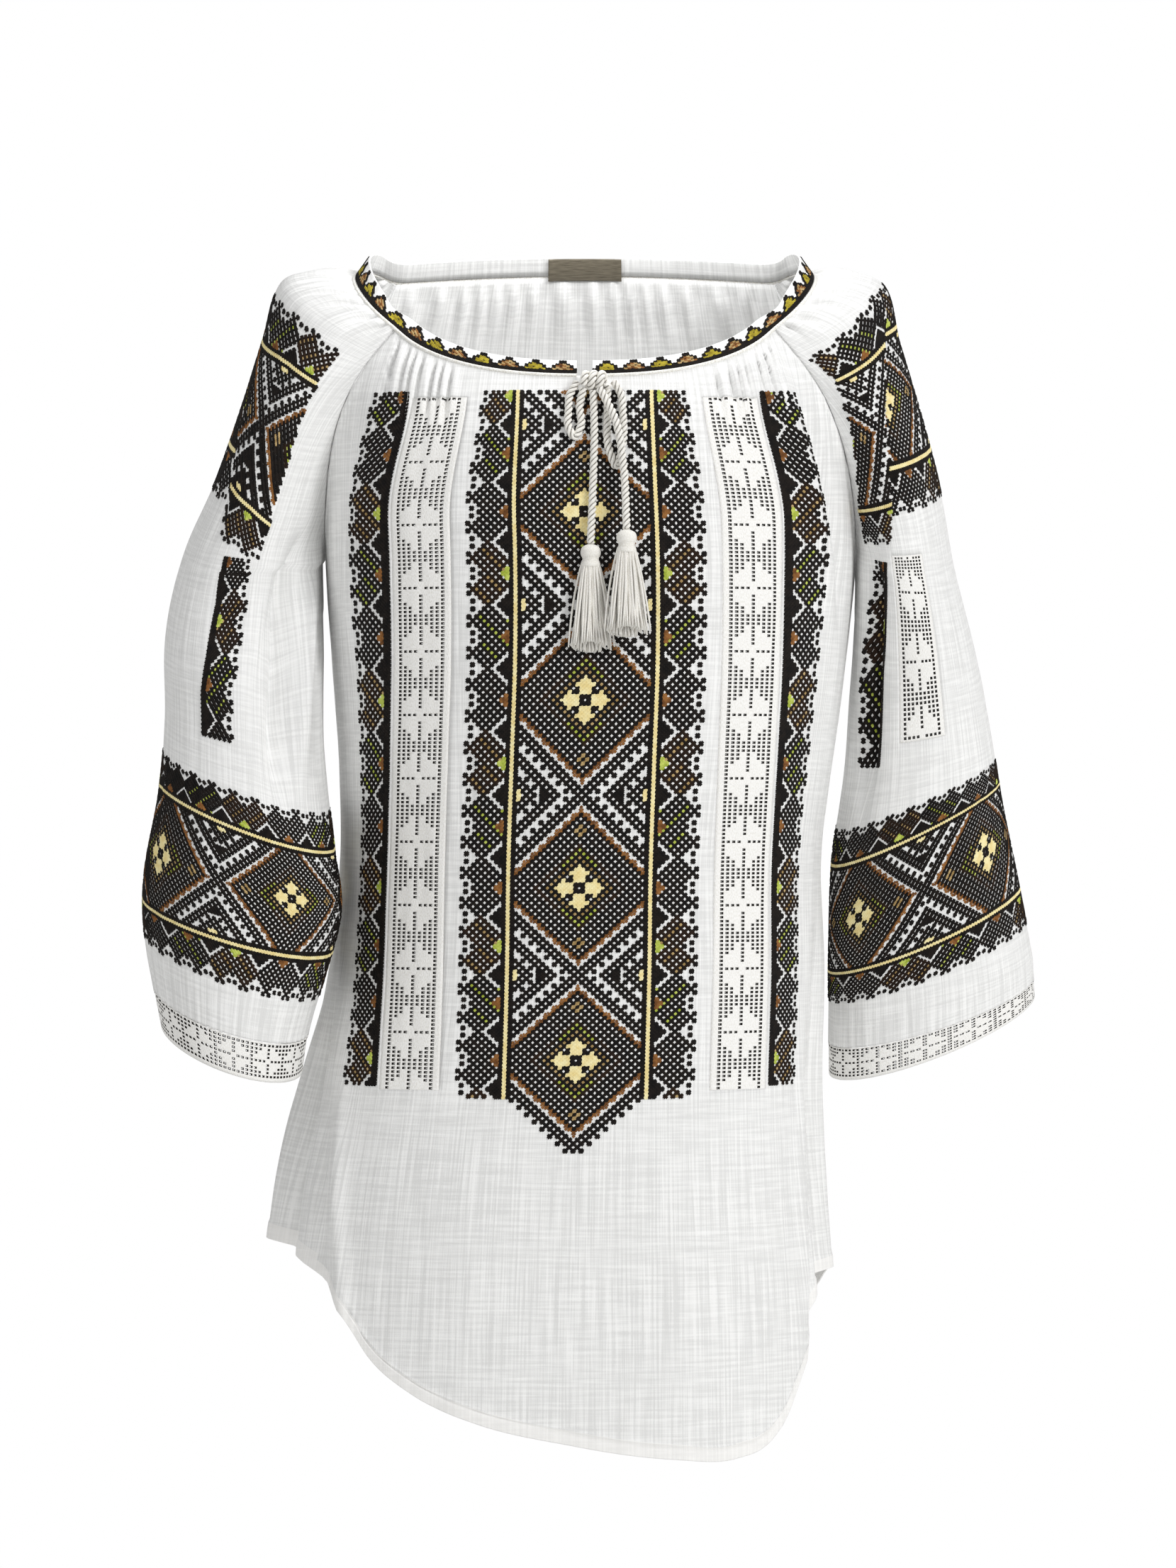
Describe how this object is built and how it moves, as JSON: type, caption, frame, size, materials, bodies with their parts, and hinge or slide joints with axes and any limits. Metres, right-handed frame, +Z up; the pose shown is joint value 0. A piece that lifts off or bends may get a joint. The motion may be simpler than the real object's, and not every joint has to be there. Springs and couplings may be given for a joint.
{
  "type": "embroidered folk blouse",
  "caption": "Wide folk blouse with a round gathered neck, slanting sleeve seams, lace insertions and cuffs, cross-stitch bands, and a tasselled drawstring.",
  "frame": {"origin": "midway between the shoulders at their height, where the wearer's shoulders carry the blouse", "axes": "+X towards the wearer's left, -Y the front, +Z up"},
  "size_m": [0.5507, 0.2693, 0.7397],
  "materials": {
    "cotton": "thin matt plain-woven cotton with black, brown, olive and gold cross-stitch",
    "lace": "matt white drawn-thread lace",
    "cord": "matt white twisted cotton cord",
    "tassel_yarn": "matt loose cotton strands",
    "label_tape": "bare woven tape"
  },
  "bodies": {
    "root": {"front_panel": "cotton", "back_panel": "cotton", "sleeve_right": "cotton", "sleeve_left": "cotton", "neckband": "cotton", "lace_front_right": "lace", "lace_front_left": "lace", "lace_sleeve_left": "lace", "cuff_right": "lace", "cuff_left": "lace", "label": "label_tape", "cord_knot": "cord", "cord_tail_right": "cord", "cord_tail_left": "cord", "cord_loop_right": "cord", "cord_loop_left": "cord", "tassel_right": "tassel_yarn", "tassel_left": "tassel_yarn"}
  },
  "joints": []
}
